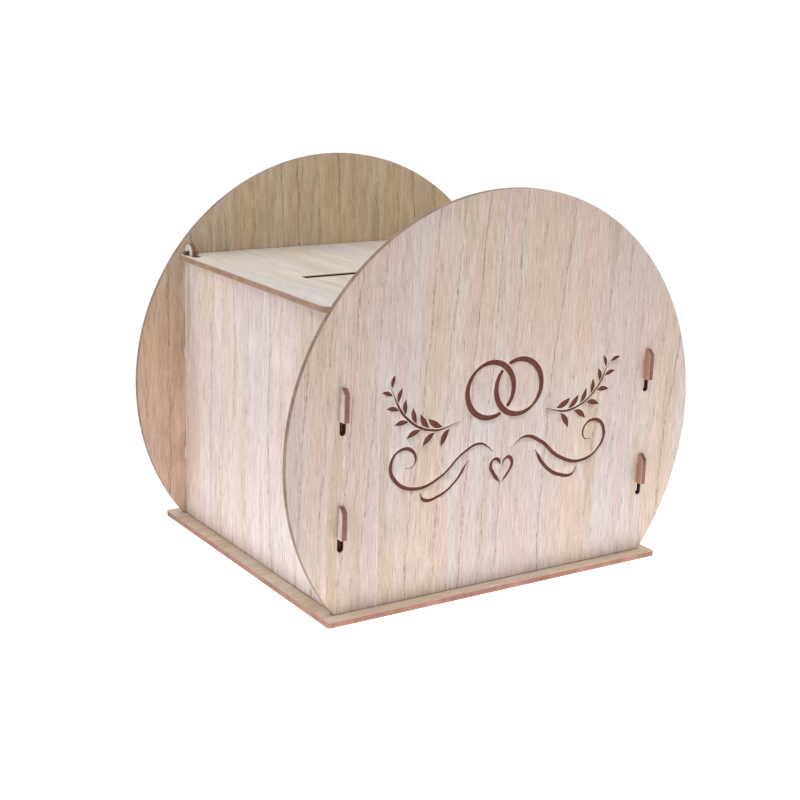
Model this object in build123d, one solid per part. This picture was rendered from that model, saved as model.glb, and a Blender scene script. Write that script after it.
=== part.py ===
"""Wedding card box cut from thin veneered board, assembled without glue.

Two round panels stand on a base plate and hang on hooked tabs of the two side
panels.  A lid with a card slit rests on the side panels, and turns up under two
short pins that pass through ears at the rear of the side panels.

Frame: +X to the right, +Y to the rear, +Z up.  The origin is the middle of the
underside of the base plate.  All sizes are millimetres.
"""
from build123d import *
from math import sqrt
import os

# ---- Board -------------------------------------------------------------------
board = 3.0                     # thickness of every panel

# ---- Base plate --------------------------------------------------------------
base_side_margin = 7.6          # reach past the outer face of each side panel
base_end_margin = 6.2           # reach past the outer face of each disc
base_corner_radius = 1.5

# ---- Round panels, front and rear --------------------------------------------
disc_diameter = 235.0
disc_centre_height = 73.8       # above the top of the base plate
discs_over_faces = 163.6        # front face of the front disc to rear face of the rear one

# ---- Side panels -------------------------------------------------------------
foot_reach = 1.0                # foot of a disc past the outer face of each side panel
side_height = 139.0             # above the top of the base plate
tenon_length = 25.0
tenon_offset = 45.0             # middle of each tenon from the middle of the panel
tenon_play = 0.1                # round each tenon in its base slot
tenon_recess = 0.2              # tenon ends stop this far above the base underside

# ---- Hooked tabs that carry the round panels ---------------------------------
lower_hook_height = 36.9        # underside of the hook above the top of the base plate
upper_hook_height = 91.8
hook_height = 15.4              # underside of the neck to the top of the nose
hook_nose = 3.4                 # nose stands this far out of the disc face
hook_chamfer = 2.3              # on the top outer corner of the nose
disc_lift = 5.4                 # rise of a disc from its seat to its upper stop
hook_play = 0.1                 # clearance round necks and noses

# ---- Ears and pins of the lid hinge ------------------------------------------
ear_radius = 4.5
ear_setback = 0.3               # rear of the ear ahead of the rear edge of the panel
pin_radius = 1.0
pin_play = 0.05                 # radial clearance of a pin in its ear
pin_lid_gap = 0.2               # underside of a pin above the lid
pin_reach = 2.4                 # pin stands out this far on both sides of its ear
pin_end_chamfer = 0.25

# ---- Lid ---------------------------------------------------------------------
lid_overhang = 3.0              # beyond the outer faces of the side panels
lid_finger_gap = 5.8            # between the lid and the front disc
lid_rear_gap = 0.5              # between the lid and the rear disc
lid_front_radius = 5.5
lid_rear_radius = 2.0
slit_end_margin = 20.9          # from each end of the slit to the inner face of a side panel
slit_width = 4.8
slit_from_rear_disc = 83.8      # middle of the slit to the inner face of the rear disc
notch_front_gap = 3.4           # notch ahead of the ear
notch_outer_gap = 0.5           # notch outboard of the ear
notch_inner_gap = 1.0           # notch inboard of the ear
notch_corner_radius = 0.8

# ---- Levels and planes that follow from the sizes above ----------------------
base_top = board
side_top = base_top + side_height
lid_top = side_top + board
disc_outer_y = discs_over_faces / 2
disc_inner_y = disc_outer_y - board
foot_half_width = sqrt((disc_diameter / 2) ** 2 - disc_centre_height ** 2)
side_outer_x = foot_half_width - foot_reach
side_inner_x = side_outer_x - board
side_middle_x = side_outer_x - board / 2
hinge_y = disc_inner_y - ear_setback - ear_radius
hinge_z = lid_top + pin_lid_gap + pin_radius
hook_heights = (lower_hook_height, upper_hook_height)
slot_width = board + 2 * hook_play
slot_end_radius = slot_width / 2
# The square corners of a neck meet the round end of a slot this far from its tip.
slot_end_room = slot_end_radius - sqrt(slot_end_radius ** 2 - (board / 2) ** 2)
neck_height = hook_height - disc_lift


def upright_board(outline, y_front):
    """Stand an outline drawn in X and Z as a board whose front face is at y_front."""
    face = Plane.XZ * outline
    return Pos(0, y_front + board, 0) * extrude(face, board)


def tenon_slots():
    """Cutters for the base slots that take the tenons of both side panels."""
    length = tenon_length + 2 * tenon_play
    width = board + 2 * tenon_play
    return [
        Pos(side * side_middle_x, end * tenon_offset, base_top / 2) * Box(width, length, 2 * board)
        for side in (-1, 1)
        for end in (-1, 1)
    ]


def make_base_plate():
    half_width = side_outer_x + base_side_margin
    half_depth = disc_outer_y + base_end_margin
    plate = Rectangle(2 * half_width, 2 * half_depth)
    plate = fillet(plate.vertices(), base_corner_radius)
    return extrude(plate, board) - tenon_slots()


def hook_slot(x, hook_bottom):
    """Round-ended slot in a disc, from its lowest to its highest tip."""
    low = hook_bottom - disc_lift - hook_play - slot_end_room
    high = hook_bottom + neck_height + hook_play + slot_end_room
    middle = base_top + (low + high) / 2
    return Pos(x, middle) * SlotOverall(high - low, slot_width, rotation=90)


def make_disc(y_front):
    """Round panel with a flat foot and four hook slots."""
    radius = disc_diameter / 2
    outline = Pos(0, base_top + disc_centre_height) * Circle(radius)
    below_foot = Pos(0, base_top - radius) * Rectangle(2 * disc_diameter, 2 * radius)
    outline -= below_foot
    for x in (-side_middle_x, side_middle_x):
        for height in hook_heights:
            outline -= hook_slot(x, height)
    return upright_board(outline, y_front)


def hook_outline(bottom):
    """One front hook in Y and Z: a neck through the disc and a nose turned up."""
    nose_back = -disc_outer_y - hook_play
    nose_front = -disc_outer_y - hook_nose
    low = base_top + bottom
    high = low + hook_height
    return make_face(Polyline(
        (-disc_inner_y + board, low),
        (nose_front, low),
        (nose_front, high - hook_chamfer),
        (nose_front + hook_chamfer, high),
        (nose_back, high),
        (nose_back, low + neck_height),
        (-disc_inner_y + board, low + neck_height),
        close=True,
    ))


def ear_outline():
    """Round-topped ear in Y and Z, rising from the rear end of the panel."""
    stem_height = hinge_z - side_top + board
    stem = Pos(hinge_y, hinge_z - stem_height / 2) * Rectangle(2 * ear_radius, stem_height)
    return stem + Pos(hinge_y, hinge_z) * Circle(ear_radius)


def make_side_panel(outer_x_sign):
    """Side panel with tenons, hooks at both ends and the hinge ear."""
    depth = 2 * disc_inner_y
    outline = Pos(0, base_top + side_height / 2) * Rectangle(depth, side_height)
    for height in hook_heights:
        front_hook = hook_outline(height)
        outline += front_hook
        outline += mirror(front_hook, about=Plane.YZ)
    tenon_height = 2 * board - tenon_recess
    for end in (-1, 1):
        place = Pos(end * tenon_offset, tenon_recess + tenon_height / 2)
        outline += place * Rectangle(tenon_length, tenon_height)
    outline += ear_outline()
    outline -= Pos(hinge_y, hinge_z) * Circle(pin_radius + pin_play)
    panel = extrude(Plane.YZ * outline, board)
    inner_face_x = side_inner_x if outer_x_sign > 0 else -side_outer_x
    return Pos(inner_face_x, 0, 0) * panel


def make_hinge_pin(outer_x_sign):
    """Short dowel through an ear, lying just above the lid at both ends."""
    length = board + 2 * pin_reach
    pin = Cylinder(pin_radius, length, rotation=(0, 90, 0))
    pin = chamfer(pin.edges().filter_by(GeomType.CIRCLE), pin_end_chamfer)
    return Pos(outer_x_sign * side_middle_x, hinge_y, hinge_z) * pin


def ear_notch(outer_x_sign):
    """Notch that lets an ear through the lid, open to the rear edge."""
    notch_width = board + notch_outer_gap + notch_inner_gap
    notch_middle_x = side_middle_x + (notch_outer_gap - notch_inner_gap) / 2
    front = hinge_y - ear_radius - notch_front_gap
    past_rear = disc_outer_y
    notch = Rectangle(notch_width, past_rear - front)
    front_corners = notch.vertices().sort_by(Axis.Y)[:2]
    notch = fillet(front_corners, notch_corner_radius)
    return Pos(outer_x_sign * notch_middle_x, (front + past_rear) / 2) * notch


def make_lid():
    half_width = side_outer_x + lid_overhang
    front = -disc_inner_y + lid_finger_gap
    rear = disc_inner_y - lid_rear_gap
    outline = Pos(0, (front + rear) / 2) * Rectangle(2 * half_width, rear - front)
    corners = outline.vertices().sort_by(Axis.Y)
    outline = fillet(corners[:2], lid_front_radius)
    corners = outline.vertices().sort_by(Axis.Y)
    outline = fillet(corners[-2:], lid_rear_radius)
    slit_y = disc_inner_y - slit_from_rear_disc
    slit_length = 2 * (side_inner_x - slit_end_margin)
    outline -= Pos(0, slit_y) * Rectangle(slit_length, slit_width)
    for outer_x_sign in (-1, 1):
        outline -= ear_notch(outer_x_sign)
    return Pos(0, 0, side_top) * extrude(outline, board)


parts = {
    "base_plate": make_base_plate(),
    "front_disc": make_disc(-disc_outer_y),
    "rear_disc": make_disc(disc_inner_y),
    "left_side_panel": make_side_panel(-1),
    "right_side_panel": make_side_panel(1),
    "left_hinge_pin": make_hinge_pin(-1),
    "right_hinge_pin": make_hinge_pin(1),
    "lid": make_lid(),
}

os.makedirs("parts", exist_ok=True)
for node, solid in parts.items():
    export_step(solid, f"parts/{node}.step")
    print(f"{node}: volume {solid.volume:.1f} mm3, solids {len(solid.solids())}")
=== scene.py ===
"""Looks of a wedding card box made of thin veneered board, built round its CAD frame.

Every board is a merged, slightly eased copy of its CAD node: veneer or a plain
brown back on each face, and laser-browned fibre on every cut edge.  The front disc
carries an engraved decoration: two rings, two leafy sprigs, flourishes and a heart.
The hinge pins stay as they come from the CAD, in dark brown dowel.
"""

from math import asin, cos, pi, radians, sin

import bmesh
import bpy
from mathutils import Matrix, Vector


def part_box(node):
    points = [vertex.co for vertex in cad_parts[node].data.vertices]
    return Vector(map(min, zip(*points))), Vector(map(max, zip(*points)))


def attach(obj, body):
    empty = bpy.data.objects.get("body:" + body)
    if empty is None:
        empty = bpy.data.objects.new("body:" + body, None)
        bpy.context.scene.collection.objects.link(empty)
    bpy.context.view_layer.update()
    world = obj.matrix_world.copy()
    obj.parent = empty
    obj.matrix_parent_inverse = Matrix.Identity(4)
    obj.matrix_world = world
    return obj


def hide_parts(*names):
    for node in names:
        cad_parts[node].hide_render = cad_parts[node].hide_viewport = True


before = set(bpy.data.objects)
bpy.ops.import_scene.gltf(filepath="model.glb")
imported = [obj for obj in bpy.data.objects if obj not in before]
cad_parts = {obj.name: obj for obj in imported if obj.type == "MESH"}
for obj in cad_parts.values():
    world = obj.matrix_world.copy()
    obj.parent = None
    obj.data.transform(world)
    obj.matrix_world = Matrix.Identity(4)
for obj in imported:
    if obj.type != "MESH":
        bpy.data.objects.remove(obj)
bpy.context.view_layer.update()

MM = 0.001
AXES = {"X": 0, "Y": 1, "Z": 2}


# ---- Landmarks read from the frame, metres ------------------------------------
def board_middle(node):
    """Middle of a CAD node's box."""
    low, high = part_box(node)
    return (Vector(low) + Vector(high)) / 2


front_low, front_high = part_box("front_disc")
base_low, base_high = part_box("base_plate")
DISC_RADIUS = (front_high.x - front_low.x) / 2
BASE_TOP = base_high.z
DISC_CENTRE_Z = front_high.z - DISC_RADIUS
DISC_FACE_Y = front_low.y
DISC_INNER_Y = -front_high.y
DISC_MIDDLE_Y = -(DISC_FACE_Y + front_high.y) / 2
SIDE_MIDDLE_X = board_middle("right_side_panel").x
BASE_MIDDLE_Z = board_middle("base_plate").z
LID_MIDDLE = board_middle("lid")

# ---- Camera -------------------------------------------------------------------
CAMERA_AZIMUTH = radians(-33.28)
CAMERA_ELEVATION = radians(14.92)
CAMERA_ROLL = radians(1.80)
CAMERA_DISTANCE = 6.625 * DISC_RADIUS
CAMERA_AIM = Vector((-0.0464 * DISC_RADIUS, 0, BASE_TOP + 0.6145 * DISC_RADIUS))
CAMERA_LENS_MM = 67.5
CAMERA_SENSOR_MM = 36.0
CAMERA_NEAR = 10 * MM

# ---- Studio -------------------------------------------------------------------
SKY_BRIGHTNESS = [(0.0, 0.66), (0.2, 0.66), (0.4, 0.30), (1.0, 1.0)]   # by sine of the elevation
SKY_STRENGTH = 1.6
FLOOR_RADIUS = 60.0
FLOOR_SIDES = 96
FLOOR_GLOW = 0.08               # lit table: even share
TABLE_GLOW = 1.3                # and the extra close round the object
TABLE_GLOW_MIDDLE = Vector((0.05, -0.07, 0.0))
TABLE_GLOW_NEAR, TABLE_GLOW_FAR = 0.13, 0.30
TABLE_GLOW_COLOUR = (0.93, 0.96, 1.0, 1.0)

# ---- Boards -------------------------------------------------------------------
# Painted bounce light: a khaki face grows paler between these heights towards its foot.
BOUNCE_LIGHT_FROM = 160.0          # millimetres over the ground
BOUNCE_LIGHT_FULL = 60.0
FOOT_SHADOW_HEIGHT = 1.1             # painted contact shadow along the foot of an upright board, millimetres
EDGE_EASE = 0.12 * MM           # softening of every cut corner
EDGE_EASE_STEPS = 2
SHARP_ANGLE = radians(35)
SLIT_ZONE = 70 * MM             # cut faces this near the lid's middle belong to the slit
FACE_ALIGNMENT = 0.98           # a face this square to its board's normal is one of its two faces
WELD_DISTANCE = 0.002 * MM
FLAT_ANGLE = radians(0.2)
SLOT_OVER_BASE = 5 * MM         # disc walls this high and this far inside the rim belong to its slots
SLOT_INSIDE_RIM = 2 * MM
COVERED_WITHIN = 0.3 * MM       # edges this near a disc's inner face are covered by it
# The fourth place holds cut edges darkened as painted shade: deep in slots, in the slit and behind a disc.
LOW_FACE, HIGH_FACE, CUT_EDGE, SHADED_EDGE = range(4)  # material places on a board

# ---- Engraved decoration, in the plane of the front disc ------------------------
ENGRAVING_DEPTH = 0.35 * MM
ENGRAVING_OVERCUT = 0.5 * MM    # how far the cutter stands out of the face
ENGRAVED_SQUARE = 4.0 * MM      # the face is divided into these before it is cut
CUTTING_TOLERANCE = 0.001 * MM
ENGRAVED_ZONE = [               # axis, and the zone's two ends on it
    (AXES["X"], -72 * MM, 72 * MM),
    (AXES["Z"], BASE_TOP + 44 * MM, BASE_TOP + 116 * MM),
]
PEN_ANGLE = radians(38)         # a broad pen is widest across this direction
STROKE_END_SHARE = 0.15         # a tapered stroke's width at its very end, of its full width
CURVE_SMOOTHNESS = 16
RING_RADIUS = 13.4
RING_OFFSET = 8.3               # middle of each ring from the middle of the disc
RING_HEIGHT = 97.0              # this height and the ones below are over the base
RING_BREAK = radians(10)        # half the gap where one ring passes under the other
RING_POINTS = 48
SPRIG_STEM = [(25.5, 84.0), (40.0, 81.5), (55.0, 89.0), (64.5, 104.5)]
FLOURISH = [(5.0, 66.5), (13.0, 71.5), (23.0, 68.0), (35.0, 58.5), (49.0, 54.5), (60.5, 60.0),
            (63.0, 68.5), (57.5, 74.5), (50.5, 72.0), (50.5, 66.0), (55.0, 65.0)]
TENDRIL = [(20.0, 64.0), (26.5, 55.0), (36.0, 49.0), (44.5, 48.5), (46.5, 52.0)]
HALF_HEART = [(0.45, 50.5), (4.4, 55.2), (6.3, 59.5), (4.2, 62.6), (1.6, 61.6), (0.6, 59.2)]
LEAF_ROW_START = {1: 0.10, -1: 0.17}    # left and right row of a sprig, as shares of its stem
LEAF_ROW_SPAN = 0.80
LEAF_SHRINK = 0.42              # how much smaller the leaves get towards the tip
LEAF_CURL = 0.16                # sideways bend of a leaf, of its length
LEAF_POINTS = 14
LEAF_TIP_SHARE = 0.04           # a leaf's width at its very tip, of its full width


# ---- Colours --------------------------------------------------------------------
def srgb(red, green, blue):
    """Linear colour of an 8-bit display colour."""
    def linear(value):
        share = value / 255
        return share / 12.92 if share <= 0.04045 else ((share + 0.055) / 1.055) ** 2.4
    return (linear(red), linear(green), linear(blue), 1.0)


# Tones of each veneer, spread evenly over its patches.
ROSE = [
    srgb(188, 173, 160), srgb(196, 181, 170), srgb(197, 177, 169), srgb(198, 187, 180), srgb(190, 172, 156),
]
BLUSH = [
    srgb(213, 200, 188), srgb(223, 211, 203), srgb(223, 206, 204), srgb(228, 218, 214), srgb(217, 202, 188),
]
KHAKI = [
    srgb(170, 152, 122), srgb(190, 171, 141), srgb(181, 161, 135), srgb(194, 177, 150), srgb(168, 152, 126),
]
CREAM = [
    srgb(205, 198, 186), srgb(214, 207, 198), srgb(212, 204, 194), srgb(220, 214, 206), srgb(205, 198, 186),
]
BASE_KHAKI = [
    srgb(203, 184, 162), srgb(211, 196, 177), srgb(205, 187, 168), srgb(216, 202, 184), srgb(201, 182, 161),
]
# Tints that multiply a veneer's tones: a slow drift, the paler grain, the pores, and painted bounce light at
# the foot of a khaki face.
WARM_TO_COOL = [(0.38, (1.0, 0.955, 0.90, 1.0)), (0.62, (0.965, 0.965, 1.0, 1.0))]
GRAIN_LIGHT = (1.14, 1.14, 1.14, 1.0)
GRAIN_LEVEL = 0.15              # the place on the grain ramp that leaves a tone as it is
GRAIN_PLAIN = (1.0, 1.0, 1.0, 1.0)
GRAIN_DARK = srgb(98, 72, 56)
# Painted bounce light at the foot of a khaki face.
KHAKI_BOUNCE_LIGHT = (1.24, 1.13, 1.30, 1.0)
# Cut edges and plain finishes, light and dark.
RIM_LIGHT, RIM_DARK = srgb(165, 142, 129), srgb(119, 98, 86)
HOOK_LIGHT, HOOK_DARK = srgb(142, 104, 95), srgb(98, 66, 60)
BASE_EDGE_LIGHT, BASE_EDGE_DARK = srgb(170, 128, 113), srgb(126, 86, 75)
LID_EDGE_LIGHT, LID_EDGE_DARK = srgb(174, 144, 124), srgb(130, 100, 84)
VENEER_SKIN = srgb(196, 174, 154)
# Painted shade: darker laser-browned cut edges deep in slots, in the slit and behind a disc, and the painted
# contact shadow along the foot of an upright board.
PAINTED_SHADE_LIGHT, PAINTED_SHADE_DARK = srgb(96, 62, 48), srgb(44, 26, 20)
BACK_LIGHT, BACK_DARK = srgb(178, 136, 112), srgb(156, 114, 92)
ENGRAVED_LIGHT, ENGRAVED_DARK = srgb(116, 72, 62), srgb(84, 46, 38)
DOWEL_LIGHT, DOWEL_DARK = srgb(112, 80, 60), srgb(74, 50, 38)
FLOOR_WHITE = (0.93, 0.93, 0.93, 1.0)

# ---- Veneer figure: lengths across and along the grain, millimetres ---------------
SWAY_SIZE, MEANDER_SIZE = (70.0, 170.0), (16.0, 24.0)
SWAY_OF_GRAIN, SWAY_OF_RINGS, MEANDER_OF_RINGS = 10.0, 8.0, 3.6     # sideways, millimetres
PATCH_SIZE, DRIFT_SIZE = (12.0, 150.0), (34.0, 150.0)
PATCH_FROM, PATCH_SPAN = 0.3, 0.4
RING_JITTER_SIZE, RING_JITTER = (30.0, 3000.0), 2.0
RING_STRENGTH = (0.3, 1.0)
LATE_WOOD_POWER, LATE_WOOD_DARK = 4.0, 0.10
RING_LINE_FROM, RING_LINE_FULL, RING_LINE_DARK = 0.88, 0.96, 0.12
FIBRE_SIZE, FIBRE_DARK = (0.56, 12.0), 2.1
STRAND_SIZE, STRAND_DARK = (1.1, 45.0), 0.6
PORE_SIZE, PORE_DARK = (0.42, 3.4), 0.36
PORE_FROM, PORE_FULL = 0.64, 0.74
PORES_ON_RING_LINE = 0.2        # how much more readily pores open along a ring line
# Strength of the painted contact shadow at the foot of an upright board.
FOOT_SHADOW_SHARE = 0.55
FIBRE_ROUGHNESS = (0.6, 0.76)
FIBRE_RELIEF, PORE_RELIEF, RING_RELIEF = 0.5, -0.7, -0.2
SEED_SHIFT_ALONG, SEED_SHIFT_ACROSS = 37.0, 211.0
VENEER_BUMP = 0.12 * MM

# ---- Cut edges --------------------------------------------------------------------
STRIA_LENGTH, STRIA_WIDTH = 9.0, 0.55               # across the board and along it, millimetres
SKIN_FROM, SKIN_FULL = 1.02, 1.28                   # veneer skin, millimetres from the board's middle
SKIN_SHARE = 0.55
EDGE_TONE_FROM, EDGE_TONE_FULL = 0.42, 0.78
EDGE_BUMP = 0.1 * MM

# =================================================================================
# Node helpers
# =================================================================================
def put(tree, kind, inputs=None, **settings):
    """Add a node, set its properties, and link or set its inputs by name or number."""
    node = tree.nodes.new(kind)
    for key, value in settings.items():
        setattr(node, key, value)
    for key, value in (inputs or {}).items():
        socket = node.inputs[key]
        if isinstance(value, bpy.types.NodeSocket):
            tree.links.new(value, socket)
        else:
            socket.default_value = value
    return node


def math(tree, operation, first, second=0.0, third=0.0):
    """Result of one arithmetic node."""
    node = put(tree, "ShaderNodeMath", {0: first, 1: second, 2: third}, operation=operation)
    return node.outputs[0]


def remap(tree, value, from_low, from_high, to_low, to_high, smooth=False):
    """Value moved from one range to another and held within it."""
    kind = "SMOOTHSTEP" if smooth else "LINEAR"
    ends = {"Value": value, "From Min": from_low, "From Max": from_high, "To Min": to_low, "To Max": to_high}
    return put(tree, "ShaderNodeMapRange", ends, interpolation_type=kind).outputs["Result"]


def noise(tree, across, along, size, detail=2.0, roughness=0.5, seed=0.0):
    """Noise with features of the given size, its lengths across and along in millimetres."""
    place = put(tree, "ShaderNodeCombineXYZ", {
        "X": math(tree, "DIVIDE", across, size[0]),
        "Y": math(tree, "DIVIDE", along, size[1]),
        "Z": seed,
    }).outputs[0]
    inputs = {"Vector": place, "Scale": 1.0, "Detail": detail, "Roughness": roughness}
    return put(tree, "ShaderNodeTexNoise", inputs, noise_dimensions="3D").outputs["Fac"]


def ramp(tree, value, stops):
    """Colour ramp with (position, colour) stops."""
    node = put(tree, "ShaderNodeValToRGB", {"Fac": value})
    elements = node.color_ramp.elements
    while len(elements) < len(stops):
        elements.new(0.5)
    for element, (position, colour) in zip(elements, stops):
        element.position = position
        element.color = colour
    return node.outputs["Color"]


def blend_colour(tree, share, first, second, mode="MIX"):
    """Colour of a mix node; either colour may be a socket or four numbers."""
    node = put(tree, "ShaderNodeMix", {"Factor": share}, data_type="RGBA", blend_type=mode)
    for key, value in (("A", first), ("B", second)):
        socket = [s for s in node.inputs if s.name == key and s.type == "RGBA"][0]
        if isinstance(value, bpy.types.NodeSocket):
            tree.links.new(value, socket)
        else:
            socket.default_value = value
    return [s for s in node.outputs if s.type == "RGBA"][0]


def new_material(name):
    """New material, its tree and its shader."""
    material = bpy.data.materials.new(name)
    material.use_nodes = True
    tree = material.node_tree
    return material, tree, tree.nodes["Principled BSDF"]


def object_millimetres(tree):
    """X, Y and Z sockets of the object's own coordinates, in millimetres."""
    place = put(tree, "ShaderNodeTexCoord").outputs["Object"]
    scaled = put(tree, "ShaderNodeVectorMath", {0: place, 3: 1000.0}, operation="SCALE").outputs[0]
    return put(tree, "ShaderNodeSeparateXYZ", {0: scaled}).outputs


# =================================================================================
# Materials
# =================================================================================
def veneer(name, across_axis, grain_axis, tones, seed, lean=0.0, ring_spacing=13.0, line_depth=0.5,
           pore_depth=0.75, fibre_depth=0.5, bounce_light_tint=None):
    """Plain-sliced veneer: soft tone patches, wandering growth lines, fibre and rows of pores.

    The foot tint is painted bounce light: it multiplies the colour of an upright board more and more towards
    its foot.
    """
    material, tree, shader = new_material(name)
    axes = object_millimetres(tree)
    along = math(tree, "ADD", axes[AXES[grain_axis]], SEED_SHIFT_ALONG * seed)
    straight = math(tree, "ADD", axes[AXES[across_axis]], SEED_SHIFT_ACROSS * seed)

    # The figure wanders sideways: a long sway, a shorter meander and a steady lean.
    sway = noise(tree, straight, along, SWAY_SIZE, detail=1, seed=seed)
    meander = noise(tree, straight, along, MEANDER_SIZE, detail=2, roughness=0.6, seed=seed + 3)
    gentle = math(tree, "MULTIPLY_ADD", sway, SWAY_OF_GRAIN, straight)
    across = math(tree, "MULTIPLY_ADD", sway, SWAY_OF_RINGS, gentle)
    across = math(tree, "MULTIPLY_ADD", meander, MEANDER_OF_RINGS, across)
    across = math(tree, "MULTIPLY_ADD", along, -lean, across)

    patch = noise(tree, gentle, along, PATCH_SIZE, detail=1.0, roughness=0.5, seed=seed + 7)
    step = PATCH_SPAN / (len(tones) - 1)
    colour = ramp(tree, patch, [(PATCH_FROM + step * i, tone) for i, tone in enumerate(tones)])
    drift = noise(tree, gentle, along, DRIFT_SIZE, detail=1, seed=seed + 11)
    colour = blend_colour(tree, 1.0, colour, ramp(tree, drift, WARM_TO_COOL), mode="MULTIPLY")

    # Growth rings: a slow darkening that ends in a sharp, broken line.
    jitter = noise(tree, across, along, RING_JITTER_SIZE, detail=1, seed=seed + 19)
    rings = math(tree, "DIVIDE", across, ring_spacing)
    rings = math(tree, "MULTIPLY_ADD", jitter, RING_JITTER, rings)
    ring_share = math(tree, "FRACT", rings)
    ring_id = math(tree, "FLOOR", rings)
    ring_tone = put(tree, "ShaderNodeTexWhiteNoise", {"W": ring_id}, noise_dimensions="1D").outputs["Value"]
    strength = remap(tree, ring_tone, 0, 1, *RING_STRENGTH)
    late_wood = math(tree, "MULTIPLY", math(tree, "POWER", ring_share, LATE_WOOD_POWER), strength)
    ring_line = remap(tree, ring_share, RING_LINE_FROM, RING_LINE_FULL, 0.0, 1.0, smooth=True)
    ring_line = math(tree, "MULTIPLY", ring_line, strength)

    fibre = noise(tree, gentle, along, FIBRE_SIZE, detail=2, roughness=0.7, seed=seed + 31)
    strand = noise(tree, gentle, along, STRAND_SIZE, detail=2, roughness=0.6, seed=seed + 37)
    dash = noise(tree, gentle, along, PORE_SIZE, detail=1, roughness=0.5, seed=seed + 41)
    gathered = math(tree, "MULTIPLY_ADD", ring_line, PORES_ON_RING_LINE, dash)
    pore = remap(tree, gathered, PORE_FROM, PORE_FULL, 0.0, 1.0, smooth=True)

    dark = math(tree, "MULTIPLY", late_wood, LATE_WOOD_DARK * line_depth)
    dark = math(tree, "MULTIPLY_ADD", ring_line, RING_LINE_DARK * line_depth, dark)
    dark = math(tree, "MULTIPLY_ADD", pore, PORE_DARK * pore_depth, dark)
    dark = math(tree, "MULTIPLY_ADD", math(tree, "SUBTRACT", fibre, 0.5), FIBRE_DARK * fibre_depth, dark)
    dark = math(tree, "MULTIPLY_ADD", math(tree, "SUBTRACT", strand, 0.5), STRAND_DARK * fibre_depth, dark)
    dark = math(tree, "ADD", dark, GRAIN_LEVEL)
    grain = ramp(tree, dark, [(0.0, GRAIN_LIGHT), (GRAIN_LEVEL, GRAIN_PLAIN), (1.0, GRAIN_DARK)])
    shaded = blend_colour(tree, 1.0, colour, grain, mode="MULTIPLY")
    # Painted contact shadow: darker along the foot of an upright board, where it stands on the base.
    if grain_axis == "Z":
        foot = BASE_TOP / MM
        foot_shadow = remap(tree, axes["Z"], foot, foot + FOOT_SHADOW_HEIGHT, FOOT_SHADOW_SHARE, 0.0, smooth=True)
        shaded = blend_colour(tree, foot_shadow, shaded, PAINTED_SHADE_LIGHT)
    # Painted bounce light: paler and pinker towards the foot of the board.
    if bounce_light_tint:
        low = remap(tree, axes["Z"], BOUNCE_LIGHT_FROM, BOUNCE_LIGHT_FULL, 0.0, 1.0, smooth=True)
        shaded = blend_colour(tree, low, shaded, blend_colour(tree, 1.0, shaded, bounce_light_tint, mode="MULTIPLY"))
    tree.links.new(shaded, shader.inputs["Base Color"])

    tree.links.new(remap(tree, fibre, 0.3, 0.7, *FIBRE_ROUGHNESS), shader.inputs["Roughness"])
    shader.inputs["Specular IOR Level"].default_value = 0.25
    relief = math(tree, "MULTIPLY_ADD", pore, PORE_RELIEF, math(tree, "MULTIPLY", fibre, FIBRE_RELIEF))
    relief = math(tree, "MULTIPLY_ADD", ring_line, RING_RELIEF, relief)
    bump = put(tree, "ShaderNodeBump", {"Height": relief, "Strength": 0.4, "Distance": VENEER_BUMP})
    tree.links.new(bump.outputs["Normal"], shader.inputs["Normal"])
    return material


def cut_edge(name, thickness_axis, middle, light, dark, seed):
    """Laser-browned board edge: scorched lines across its thickness, paler at its two faces.

    middle is how far the board's middle lies from the origin on the thickness axis, which is
    the same for both boards of a mirrored pair.
    """
    material, tree, shader = new_material(name)
    axes = object_millimetres(tree)
    squash = {axis: STRIA_LENGTH if axis == thickness_axis else STRIA_WIDTH for axis in AXES}
    place = put(tree, "ShaderNodeCombineXYZ", {
        axis: math(tree, "DIVIDE", axes[AXES[axis]], squash[axis]) for axis in AXES
    }).outputs[0]
    moved = put(tree, "ShaderNodeVectorMath", {0: place, 1: (seed, 2 * seed, 0)}, operation="ADD").outputs[0]
    stria = put(tree, "ShaderNodeTexNoise", {
        "Vector": moved, "Scale": 1.0, "Detail": 3.0, "Roughness": 0.6,
    }).outputs["Fac"]
    slow = put(tree, "ShaderNodeTexNoise", {"Vector": moved, "Scale": 0.05, "Detail": 2.0}).outputs["Fac"]
    tone = math(tree, "MULTIPLY_ADD", slow, 0.6, math(tree, "MULTIPLY", stria, 0.7))
    colour = ramp(tree, tone, [(EDGE_TONE_FROM, dark), (EDGE_TONE_FULL, light)])
    height = math(tree, "ABSOLUTE", axes[AXES[thickness_axis]])
    from_middle = math(tree, "ABSOLUTE", math(tree, "SUBTRACT", height, middle / MM))
    skin = remap(tree, from_middle, SKIN_FROM, SKIN_FULL, 0.0, SKIN_SHARE, smooth=True)
    colour = blend_colour(tree, skin, colour, VENEER_SKIN)
    tree.links.new(colour, shader.inputs["Base Color"])
    shader.inputs["Roughness"].default_value = 0.82
    shader.inputs["Specular IOR Level"].default_value = 0.2
    bump = put(tree, "ShaderNodeBump", {"Height": stria, "Strength": 0.4, "Distance": EDGE_BUMP})
    tree.links.new(bump.outputs["Normal"], shader.inputs["Normal"])
    return material


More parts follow.
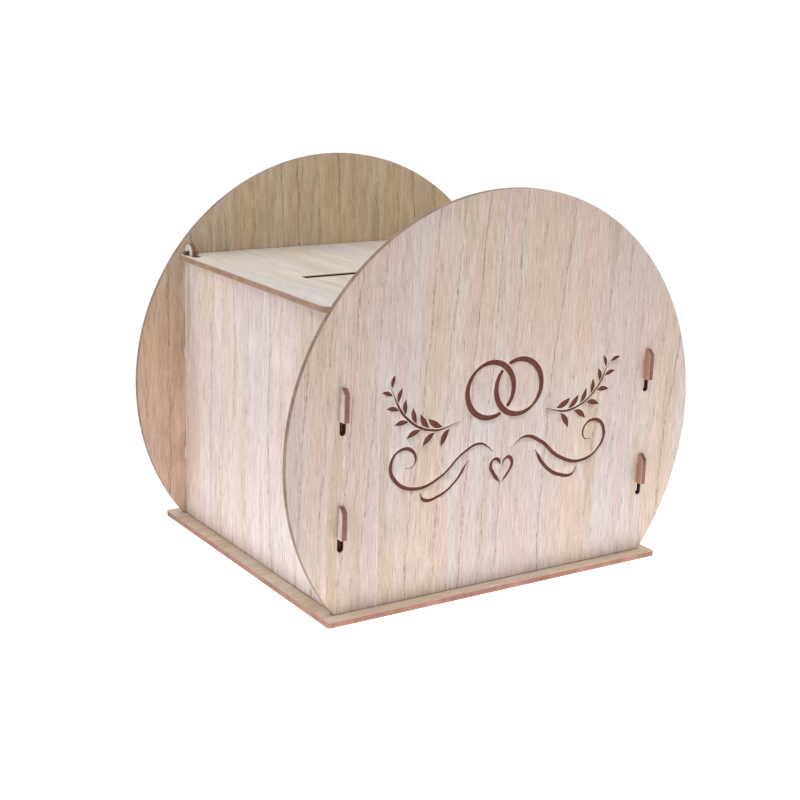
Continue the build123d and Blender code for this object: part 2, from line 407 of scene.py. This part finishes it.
def plain_back():
    """Unveneered back of a board: smooth brown fibreboard with a faint felted mottle."""
    material, tree, shader = new_material("plain_board_back")
    axes = object_millimetres(tree)
    place = put(tree, "ShaderNodeCombineXYZ", {axis: axes[AXES[axis]] for axis in AXES}).outputs[0]
    felt = put(tree, "ShaderNodeTexNoise", {"Vector": place, "Scale": 0.9, "Detail": 4.0}).outputs["Fac"]
    cloud = put(tree, "ShaderNodeTexNoise", {"Vector": place, "Scale": 0.03, "Detail": 2.0}).outputs["Fac"]
    tone = math(tree, "MULTIPLY_ADD", cloud, 0.5, math(tree, "MULTIPLY", felt, 0.5))
    tree.links.new(ramp(tree, tone, [(0.35, BACK_DARK), (0.65, BACK_LIGHT)]), shader.inputs["Base Color"])
    shader.inputs["Roughness"].default_value = 0.7
    shader.inputs["Specular IOR Level"].default_value = 0.3
    return material


def engraved_wood():
    """Floor of the engraving: dark, dry, red-brown scorched wood."""
    material, tree, shader = new_material("engraved_wood")
    axes = object_millimetres(tree)
    grain = noise(tree, axes[AXES["X"]], axes[AXES["Z"]], (0.5, 7.0), detail=3, roughness=0.65)
    colour = ramp(tree, grain, [(0.3, ENGRAVED_DARK), (0.7, ENGRAVED_LIGHT)])
    tree.links.new(colour, shader.inputs["Base Color"])
    shader.inputs["Roughness"].default_value = 0.85
    shader.inputs["Specular IOR Level"].default_value = 0.15
    return material


def dowel_wood():
    """Dark brown dowel with a few long paler fibres."""
    material, tree, shader = new_material("dark_brown_dowel")
    axes = object_millimetres(tree)
    grain = noise(tree, axes[AXES["Z"]], axes[AXES["X"]], (0.35, 6.0), detail=3, roughness=0.6)
    colour = ramp(tree, grain, [(0.3, DOWEL_DARK), (0.7, DOWEL_LIGHT)])
    tree.links.new(colour, shader.inputs["Base Color"])
    tree.links.new(remap(tree, grain, 0.3, 0.7, 0.55, 0.7), shader.inputs["Roughness"])
    shader.inputs["Specular IOR Level"].default_value = 0.3
    return material


def pale_floor():
    """White floor that glows a little all over and more close round the box."""
    material, tree, shader = new_material("pale_floor")
    shader.inputs["Base Color"].default_value = FLOOR_WHITE
    shader.inputs["Roughness"].default_value = 0.9
    shader.inputs["Specular IOR Level"].default_value = 0.1
    place = put(tree, "ShaderNodeTexCoord").outputs["Object"]
    away = put(tree, "ShaderNodeVectorMath", {0: place, 1: TABLE_GLOW_MIDDLE}, operation="DISTANCE")
    glow = remap(tree, away.outputs["Value"], TABLE_GLOW_NEAR, TABLE_GLOW_FAR, TABLE_GLOW, 0.0, smooth=True)
    tree.links.new(math(tree, "ADD", glow, FLOOR_GLOW), shader.inputs["Emission Strength"])
    shader.inputs["Emission Color"].default_value = TABLE_GLOW_COLOUR
    return material


# =================================================================================
# Boards
# =================================================================================
def merged_copy(node):
    """Copy of a CAD node's mesh with its corners joined and flat triangles merged."""
    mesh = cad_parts[node].data.copy()
    mesh.name = node + "_board"
    mesh.materials.clear()
    shape = bmesh.new()
    shape.from_mesh(mesh)
    bmesh.ops.remove_doubles(shape, verts=shape.verts, dist=WELD_DISTANCE)
    bmesh.ops.dissolve_limit(shape, angle_limit=FLAT_ANGLE, verts=shape.verts, edges=shape.edges)
    shape.to_mesh(mesh)
    shape.free()
    piece = bpy.data.objects.new(node + "_board", mesh)
    bpy.context.scene.collection.objects.link(piece)
    return piece


def apply_modifiers(piece):
    """Replace a piece's mesh by its evaluated one and drop the modifiers."""
    graph = bpy.context.evaluated_depsgraph_get()
    graph.update()
    mesh = bpy.data.meshes.new_from_object(piece.evaluated_get(graph))
    piece.modifiers.clear()
    piece.data = mesh


def ease_edges(piece):
    """Round every sharp edge a little, as light sanding does."""
    ease = piece.modifiers.new("ease", "BEVEL")
    ease.width = EDGE_EASE
    ease.segments = EDGE_EASE_STEPS
    ease.limit_method = "ANGLE"
    ease.angle_limit = SHARP_ANGLE
    ease.use_clamp_overlap = False
    apply_modifiers(piece)


def dress_board(piece, normal_axis, low_face, high_face, edge):
    """Give a board the materials of its low side, its high side and its cut edge."""
    mesh = piece.data
    for material in (low_face, high_face, edge):
        mesh.materials.append(material)
    axis = AXES[normal_axis]
    for face in mesh.polygons:
        facing = face.normal[axis]
        if abs(facing) > FACE_ALIGNMENT:
            face.material_index = LOW_FACE if facing < 0 else HIGH_FACE
            face.use_smooth = False
        else:
            face.material_index = CUT_EDGE
            face.use_smooth = True
    mesh.set_sharp_from_angle(angle=SHARP_ANGLE)


def inside_slot(face):
    """Slot walls of a disc: cut faces well inside its rim."""
    height = face.center.z
    from_middle = Vector((face.center.x, height - DISC_CENTRE_Z))
    return height > BASE_TOP + SLOT_OVER_BASE and from_middle.length < DISC_RADIUS - SLOT_INSIDE_RIM


def inside_slit(face):
    """Walls of the card slit: cut faces well inside the lid's outline."""
    from_middle = face.center - LID_MIDDLE
    return max(abs(from_middle.x), abs(from_middle.y)) < SLIT_ZONE


def behind_disc(face):
    """Upright panel edges that a disc covers, seen only through its slots."""
    upright = abs(face.normal.y) > FACE_ALIGNMENT
    return upright and abs(abs(face.center.y) - DISC_INNER_Y) < COVERED_WITHIN


def paint_edge_shade(piece, material, chosen):
    """Darken the cut-edge faces that the given test picks, as painted shade over their laser browning."""
    mesh = piece.data
    mesh.materials.append(material)
    for face in mesh.polygons:
        if face.material_index == CUT_EDGE and chosen(face):
            face.material_index = SHADED_EDGE


def divide_engraved_zone(piece):
    """Cut the low-side face into small squares, so that the engraving divides it cleanly."""
    shape = bmesh.new()
    shape.from_mesh(piece.data)
    for axis, low, high in ENGRAVED_ZONE:
        normal = Vector((0, 0, 0))
        normal[axis] = 1.0
        for step in range(int((high - low) / ENGRAVED_SQUARE) + 1):
            faces = [face for face in shape.faces if face.material_index == LOW_FACE]
            parts = set(faces)
            for face in faces:
                parts.update(face.edges)
                parts.update(face.verts)
            level = normal * (low + step * ENGRAVED_SQUARE)
            bmesh.ops.bisect_plane(
                shape, geom=list(parts), dist=CUTTING_TOLERANCE, plane_co=level, plane_no=normal,
            )
    shape.to_mesh(piece.data)
    shape.free()


def engrave(piece, cutter):
    """Sink a cutter's shape into a board; the cut takes the cutter's material."""
    cut = piece.modifiers.new("engrave", "BOOLEAN")
    cut.operation = "DIFFERENCE"
    cut.solver = "MANIFOLD"
    cut.object = cutter
    cut.material_mode = "TRANSFER"
    apply_modifiers(piece)
    piece.data.set_sharp_from_angle(angle=SHARP_ANGLE)
    bpy.data.objects.remove(cutter)


def make_board(node, body, normal_axis, faces, shaded_edges=None, cutters=()):
    """Board piece for a CAD node; faces are its low side, high side and cut edge."""
    piece = merged_copy(node)
    ease_edges(piece)
    dress_board(piece, normal_axis, *faces)
    if shaded_edges:
        paint_edge_shade(piece, *shaded_edges)
    if cutters:
        divide_engraved_zone(piece)
    for cutter in cutters:
        engrave(piece, cutter)
    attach(piece, body)
    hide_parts(node)


# =================================================================================
# Engraving cutters
# =================================================================================
def geometry_tree(name, numbers, counts=()):
    """Geometry tree with named inputs; returns the tree and its input and output sockets."""
    tree = bpy.data.node_groups.new(name, "GeometryNodeTree")
    tree.interface.new_socket("Path", in_out="INPUT", socket_type="NodeSocketGeometry")
    for label in numbers:
        tree.interface.new_socket(label, in_out="INPUT", socket_type="NodeSocketFloat")
    for label in counts:
        tree.interface.new_socket(label, in_out="INPUT", socket_type="NodeSocketInt")
    tree.interface.new_socket("Material", in_out="INPUT", socket_type="NodeSocketMaterial")
    tree.interface.new_socket("Cutter", in_out="OUTPUT", socket_type="NodeSocketGeometry")
    return tree, tree.nodes.new("NodeGroupInput").outputs, tree.nodes.new("NodeGroupOutput").inputs


def join_geometry(tree, *parts):
    """All the given geometry sockets as one."""
    joined = tree.nodes.new("GeometryNodeJoinGeometry")
    for part in parts:
        tree.links.new(part, joined.inputs[0])
    return joined.outputs[0]


def ribbon(tree, path, width):
    """Flat ribbon of the given width along a path that lies in XY."""
    level = put(tree, "GeometryNodeSetCurveNormal", {"Curve": path}, mode="Z_UP").outputs[0]
    nib = put(tree, "GeometryNodeCurvePrimitiveLine", {"Start": (-0.5, 0, 0), "End": (0.5, 0, 0)}).outputs[0]
    sweep = {"Curve": level, "Profile Curve": nib, "Scale": width}
    return put(tree, "GeometryNodeCurveToMesh", sweep).outputs[0]


def closed_prisms(tree, ribbons, depth, material):
    """Give flat ribbons the cutting depth as closed solids of one material."""
    drop = put(tree, "ShaderNodeCombineXYZ", {"Z": math(tree, "MULTIPLY", depth, -1.0)}).outputs[0]
    sunk = put(tree, "GeometryNodeTransform", {"Geometry": ribbons, "Translation": drop}).outputs[0]
    reach = math(tree, "ADD", depth, ENGRAVING_OVERCUT)
    raised = put(tree, "GeometryNodeExtrudeMesh", {
        "Mesh": sunk, "Offset Scale": reach, "Individual": False,
    }).outputs["Mesh"]
    underside = put(tree, "GeometryNodeFlipFaces", {"Mesh": sunk}).outputs[0]
    both = join_geometry(tree, raised, underside)
    joining = {"Geometry": both, "Distance": CUTTING_TOLERANCE}
    whole = put(tree, "GeometryNodeMergeByDistance", joining).outputs[0]
    real = put(tree, "GeometryNodeRealizeInstances", {"Geometry": whole}).outputs[0]
    return put(tree, "GeometryNodeSetMaterial", {"Geometry": real, "Material": material}).outputs[0]


def flat_heading(tree, direction):
    """Angle of a direction in XY."""
    parts = put(tree, "ShaderNodeSeparateXYZ", {0: direction}).outputs
    return math(tree, "ARCTAN2", parts["Y"], parts["X"])


def pen_width(tree, narrow, wide, pen_angle, taper):
    """Width of a broad pen's stroke: set by its heading, and thinned towards both ends."""
    heading = flat_heading(tree, put(tree, "GeometryNodeInputTangent").outputs[0])
    turned = math(tree, "SINE", math(tree, "SUBTRACT", heading, pen_angle))
    share = math(tree, "ABSOLUTE", turned)
    full = math(tree, "MULTIPLY_ADD", share, math(tree, "SUBTRACT", wide, narrow), narrow)
    factor = put(tree, "GeometryNodeSplineParameter").outputs["Factor"]
    to_end = math(tree, "MINIMUM", factor, math(tree, "SUBTRACT", 1.0, factor))
    thinned = remap(tree, to_end, -0.001, taper, STROKE_END_SHARE, 1.0, smooth=True)
    return math(tree, "MULTIPLY", full, thinned)


def even_points(tree, path, step):
    """Path with points at an even step."""
    spaced = {"Curve": path, "Length": step}
    return put(tree, "GeometryNodeResampleCurve", spaced, mode="LENGTH").outputs[0]


def pen_tree():
    """Broad-pen strokes along every path."""
    numbers = ("Narrow", "Wide", "Pen Angle", "Taper", "Step", "Depth")
    tree, given, result = geometry_tree("pen_strokes", numbers)
    width = pen_width(tree, given["Narrow"], given["Wide"], given["Pen Angle"], given["Taper"])
    strokes = ribbon(tree, even_points(tree, given["Path"], given["Step"]), width)
    tree.links.new(closed_prisms(tree, strokes, given["Depth"], given["Material"]), result["Cutter"])
    return tree


def leaf_row(tree, given, side):
    """One row of leaves along the stem, on its left side (1) or its right side (-1)."""
    start = LEAF_ROW_START[side]
    stretch = {"Curve": given["Path"], "Start": start, "End": start + LEAF_ROW_SPAN}
    part = put(tree, "GeometryNodeTrimCurve", stretch, mode="FACTOR").outputs[0]
    row = {"Curve": part, "Count": given["Leaves"]}
    spots = put(tree, "GeometryNodeCurveToPoints", row, mode="COUNT").outputs

    angle = math(tree, "MULTIPLY_ADD", given["Leaf Angle"], side, flat_heading(tree, spots["Tangent"]))
    turn = put(tree, "ShaderNodeCombineXYZ", {"Z": angle}).outputs[0]
    index = put(tree, "GeometryNodeInputIndex").outputs[0]
    order = math(tree, "DIVIDE", math(tree, "MODULO", index, given["Leaves"]), given["Leaves"])
    size = math(tree, "MULTIPLY_ADD", order, -LEAF_SHRINK, 1.0)

    length, gap = given["Leaf Length"], given["Leaf Gap"]
    bulge = math(tree, "MULTIPLY", length, -LEAF_CURL * side)
    middle = math(tree, "MULTIPLY_ADD", length, 0.5, gap)
    leaf = put(tree, "GeometryNodeCurveQuadraticBezier", {
        "Resolution": LEAF_POINTS,
        "Start": put(tree, "ShaderNodeCombineXYZ", {"X": gap}).outputs[0],
        "Middle": put(tree, "ShaderNodeCombineXYZ", {"X": middle, "Y": bulge}).outputs[0],
        "End": put(tree, "ShaderNodeCombineXYZ", {"X": math(tree, "ADD", length, gap)}).outputs[0],
    }).outputs[0]
    return put(tree, "GeometryNodeInstanceOnPoints", {
        "Points": spots["Points"], "Instance": leaf, "Rotation": turn, "Scale": size,
    }).outputs[0]


def sprig_tree():
    """Leafy sprig: a pen-drawn stem with a row of pointed leaves on each side."""
    numbers = ("Narrow", "Wide", "Pen Angle", "Taper", "Step", "Leaf Length", "Leaf Width",
               "Leaf Angle", "Leaf Gap", "Depth")
    tree, given, result = geometry_tree("leafy_sprig", numbers, counts=("Leaves",))
    stem_width = pen_width(tree, given["Narrow"], given["Wide"], given["Pen Angle"], given["Taper"])
    stem = ribbon(tree, even_points(tree, given["Path"], given["Step"]), stem_width)

    rows = join_geometry(tree, leaf_row(tree, given, 1), leaf_row(tree, given, -1))
    veins = put(tree, "GeometryNodeRealizeInstances", {"Geometry": rows}).outputs[0]
    factor = put(tree, "GeometryNodeSplineParameter").outputs["Factor"]
    lens = math(tree, "SINE", math(tree, "MULTIPLY", factor, pi))
    lens = math(tree, "MAXIMUM", lens, LEAF_TIP_SHARE)
    drawn = put(tree, "GeometryNodeSplineLength").outputs["Length"]
    share = math(tree, "DIVIDE", drawn, given["Leaf Length"])
    leaf_width = math(tree, "MULTIPLY", math(tree, "MULTIPLY", lens, share), given["Leaf Width"])
    leaves = ribbon(tree, veins, leaf_width)

    whole = closed_prisms(tree, join_geometry(tree, stem, leaves), given["Depth"], given["Material"])
    tree.links.new(whole, result["Cutter"])
    return tree


def mirrored(points):
    """The same points on the other side of the disc's middle."""
    return [(-x, y) for x, y in points]


def ring_path(side):
    """Ring left (-1) or right (1) of the middle, open where it passes under the other one."""
    middle = side * RING_OFFSET
    crossing = side * pi / 2 + asin(RING_OFFSET / RING_RADIUS)
    start = crossing + RING_BREAK
    sweep = 2 * (pi - RING_BREAK)
    turns = [start + sweep * i / (RING_POINTS - 1) for i in range(RING_POINTS)]
    return [(middle + RING_RADIUS * cos(a), RING_HEIGHT + RING_RADIUS * sin(a)) for a in turns]


def drawn_curve(name, paths):
    """Curve with one smooth open spline through each path's (x, y) points, in millimetres."""
    data = bpy.data.curves.new(name, "CURVE")
    data.dimensions = "3D"
    data.resolution_u = CURVE_SMOOTHNESS
    for path in paths:
        spline = data.splines.new("BEZIER")
        spline.bezier_points.add(len(path) - 1)
        for knot, (x, y) in zip(spline.bezier_points, path):
            knot.co = (x * MM, y * MM, 0)
            knot.handle_left_type = "AUTO"
            knot.handle_right_type = "AUTO"
    curve = bpy.data.objects.new(name, data)
    bpy.context.scene.collection.objects.link(curve)
    return curve


def make_cutter(name, paths, tree, values):
    """Run a geometry tree on drawn paths and stand the result up on the disc's face."""
    curve = drawn_curve(name + "_paths", paths)
    nodes = curve.modifiers.new(name, "NODES")
    nodes.node_group = tree
    for socket in tree.interface.items_tree:
        if socket.in_out == "INPUT" and socket.name in values:
            nodes[socket.identifier] = values[socket.name]
    graph = bpy.context.evaluated_depsgraph_get()
    graph.update()
    mesh = bpy.data.meshes.new_from_object(curve.evaluated_get(graph))
    bpy.data.objects.remove(curve)
    mesh.transform(Matrix.Translation((0, DISC_FACE_Y, BASE_TOP)) @ Matrix.Rotation(radians(90), 4, "X"))
    cutter = bpy.data.objects.new(name, mesh)
    bpy.context.scene.collection.objects.link(cutter)
    return cutter


def engraving_cutters(material):
    """Rings, flourishes with a heart, and leafy sprigs."""
    pen, sprig = pen_tree(), sprig_tree()
    common = {"Pen Angle": PEN_ANGLE, "Depth": ENGRAVING_DEPTH, "Material": material}
    rings = [ring_path(-1), ring_path(1)]
    ring_pen = {"Narrow": 1.3 * MM, "Wide": 2.9 * MM, "Taper": 0.0, "Step": 0.9 * MM}
    lines = [path for drawn in (FLOURISH, TENDRIL, HALF_HEART) for path in (drawn, mirrored(drawn))]
    line_pen = {"Narrow": 0.9 * MM, "Wide": 1.9 * MM, "Taper": 0.16, "Step": 0.7 * MM}
    stems = [SPRIG_STEM, mirrored(SPRIG_STEM)]
    leafy = {
        "Narrow": 0.8 * MM, "Wide": 1.2 * MM, "Taper": 0.3, "Step": 0.9 * MM, "Leaves": 6,
        "Leaf Length": 9.4 * MM, "Leaf Width": 3.0 * MM, "Leaf Angle": radians(44), "Leaf Gap": 1.6 * MM,
    }
    return [
        make_cutter("rings", rings, pen, common | ring_pen),
        make_cutter("flourishes", lines, pen, common | line_pen),
        make_cutter("sprigs", stems, sprig, common | leafy),
    ]


# =================================================================================
# Camera, light and floor
# =================================================================================
def make_camera():
    """Camera that looks at the aim point from its azimuth and elevation, slightly rolled."""
    azimuth, elevation = CAMERA_AZIMUTH, CAMERA_ELEVATION
    back = Vector((sin(azimuth) * cos(elevation), -cos(azimuth) * cos(elevation), sin(elevation)))
    right = (-back).cross(Vector((0, 0, 1))).normalized()
    up = right.cross(-back)
    rolled_right = cos(CAMERA_ROLL) * right + sin(CAMERA_ROLL) * up
    rolled_up = cos(CAMERA_ROLL) * up - sin(CAMERA_ROLL) * right
    turn = Matrix((rolled_right, rolled_up, back)).transposed().to_4x4()
    data = bpy.data.cameras.new("camera")
    data.lens = CAMERA_LENS_MM
    data.sensor_width = CAMERA_SENSOR_MM
    data.clip_start = CAMERA_NEAR
    camera = bpy.data.objects.new("camera", data)
    camera.matrix_world = Matrix.Translation(CAMERA_AIM + CAMERA_DISTANCE * back) @ turn
    bpy.context.scene.collection.objects.link(camera)
    bpy.context.scene.camera = camera


def make_studio():
    """Soft white surroundings and a plain pale floor under the box."""
    world = bpy.data.worlds.new("studio")
    world.use_nodes = True
    tree = world.node_tree
    height = put(tree, "ShaderNodeSeparateXYZ", {0: put(tree, "ShaderNodeTexCoord").outputs["Generated"]})
    sky = ramp(tree, height.outputs["Z"], [(s, (v, v, v, 1.0)) for s, v in SKY_BRIGHTNESS])
    tree.links.new(sky, tree.nodes["Background"].inputs["Color"])
    tree.nodes["Background"].inputs["Strength"].default_value = SKY_STRENGTH
    bpy.context.scene.world = world
    bpy.context.scene.view_settings.view_transform = "Standard"

    bpy.ops.mesh.primitive_circle_add(vertices=FLOOR_SIDES, radius=FLOOR_RADIUS, fill_type="NGON")
    floor = bpy.context.object
    floor.name = "floor"
    floor.data.transform(Matrix.Translation((0, 0, base_low.z)))
    floor.data.materials.append(pale_floor())


make_camera()
make_studio()

rose_front = veneer("rose_veneer_front", "X", "Z", ROSE, seed=1.0, lean=0.05)
rose_rear = veneer("rose_veneer_rear", "X", "Z", ROSE, seed=5.0, lean=-0.05)
blush_left = veneer("blush_veneer_left", "Y", "Z", BLUSH, seed=2.0, lean=0.01)
blush_right = veneer("blush_veneer_right", "Y", "Z", BLUSH, seed=6.0, lean=-0.01)
# The khaki disc face carries painted bounce light towards its foot.
khaki_disc = veneer(
    "khaki_veneer_disc", "X", "Z", KHAKI, seed=3.0, lean=-0.02, line_depth=1.0, bounce_light_tint=KHAKI_BOUNCE_LIGHT,
)
cream_lid = veneer(
    "cream_veneer_lid", "X", "Y", CREAM, seed=7.0, line_depth=0.25, pore_depth=0.2, fibre_depth=0.35,
)
khaki_base = veneer("khaki_veneer_base", "Y", "X", BASE_KHAKI, seed=9.0, pore_depth=0.4)
board_back = plain_back()
rim = cut_edge("cut_edge_disc", "Y", DISC_MIDDLE_Y, RIM_LIGHT, RIM_DARK, 1.0)
hook_edge = cut_edge("cut_edge_side", "X", SIDE_MIDDLE_X, HOOK_LIGHT, HOOK_DARK, 2.0)
base_edge = cut_edge("cut_edge_base", "Z", BASE_MIDDLE_Z, BASE_EDGE_LIGHT, BASE_EDGE_DARK, 3.0)
lid_edge = cut_edge("cut_edge_lid", "Z", LID_MIDDLE.z, LID_EDGE_LIGHT, LID_EDGE_DARK, 6.0)
# Laser-browned cut edges made darker still as painted shade, where they lie deep in slots, in the slit or
# behind a disc.
slot_shade_disc = cut_edge("painted_shade_edge_disc", "Y", DISC_MIDDLE_Y, PAINTED_SHADE_LIGHT, PAINTED_SHADE_DARK, 4.0)
slit_shade_lid = cut_edge("painted_shade_edge_slit", "Z", LID_MIDDLE.z, PAINTED_SHADE_LIGHT, PAINTED_SHADE_DARK, 8.0)
covered_shade_side = cut_edge("painted_shade_edge_side", "X", SIDE_MIDDLE_X, PAINTED_SHADE_LIGHT, PAINTED_SHADE_DARK, 5.0)
dowel = dowel_wood()

# Cut faces that take the painted shade.
slots = (slot_shade_disc, inside_slot)
covered = (covered_shade_side, behind_disc)
slit = (slit_shade_lid, inside_slit)
cutters = engraving_cutters(engraved_wood())
make_board("base_plate", "box", "Z", (board_back, khaki_base, base_edge))
make_board("front_disc", "front_disc", "Y", (rose_front, khaki_disc, rim), slots, cutters)
make_board("rear_disc", "rear_disc", "Y", (khaki_disc, rose_rear, rim), slots)
make_board("left_side_panel", "box", "X", (blush_left, board_back, hook_edge), covered)
make_board("right_side_panel", "box", "X", (board_back, blush_right, hook_edge), covered)
make_board("lid", "lid", "Z", (board_back, cream_lid, lid_edge), slit)
for node in ("left_hinge_pin", "right_hinge_pin"):
    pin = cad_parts[node]
    pin.data.materials.clear()
    pin.data.materials.append(dowel)
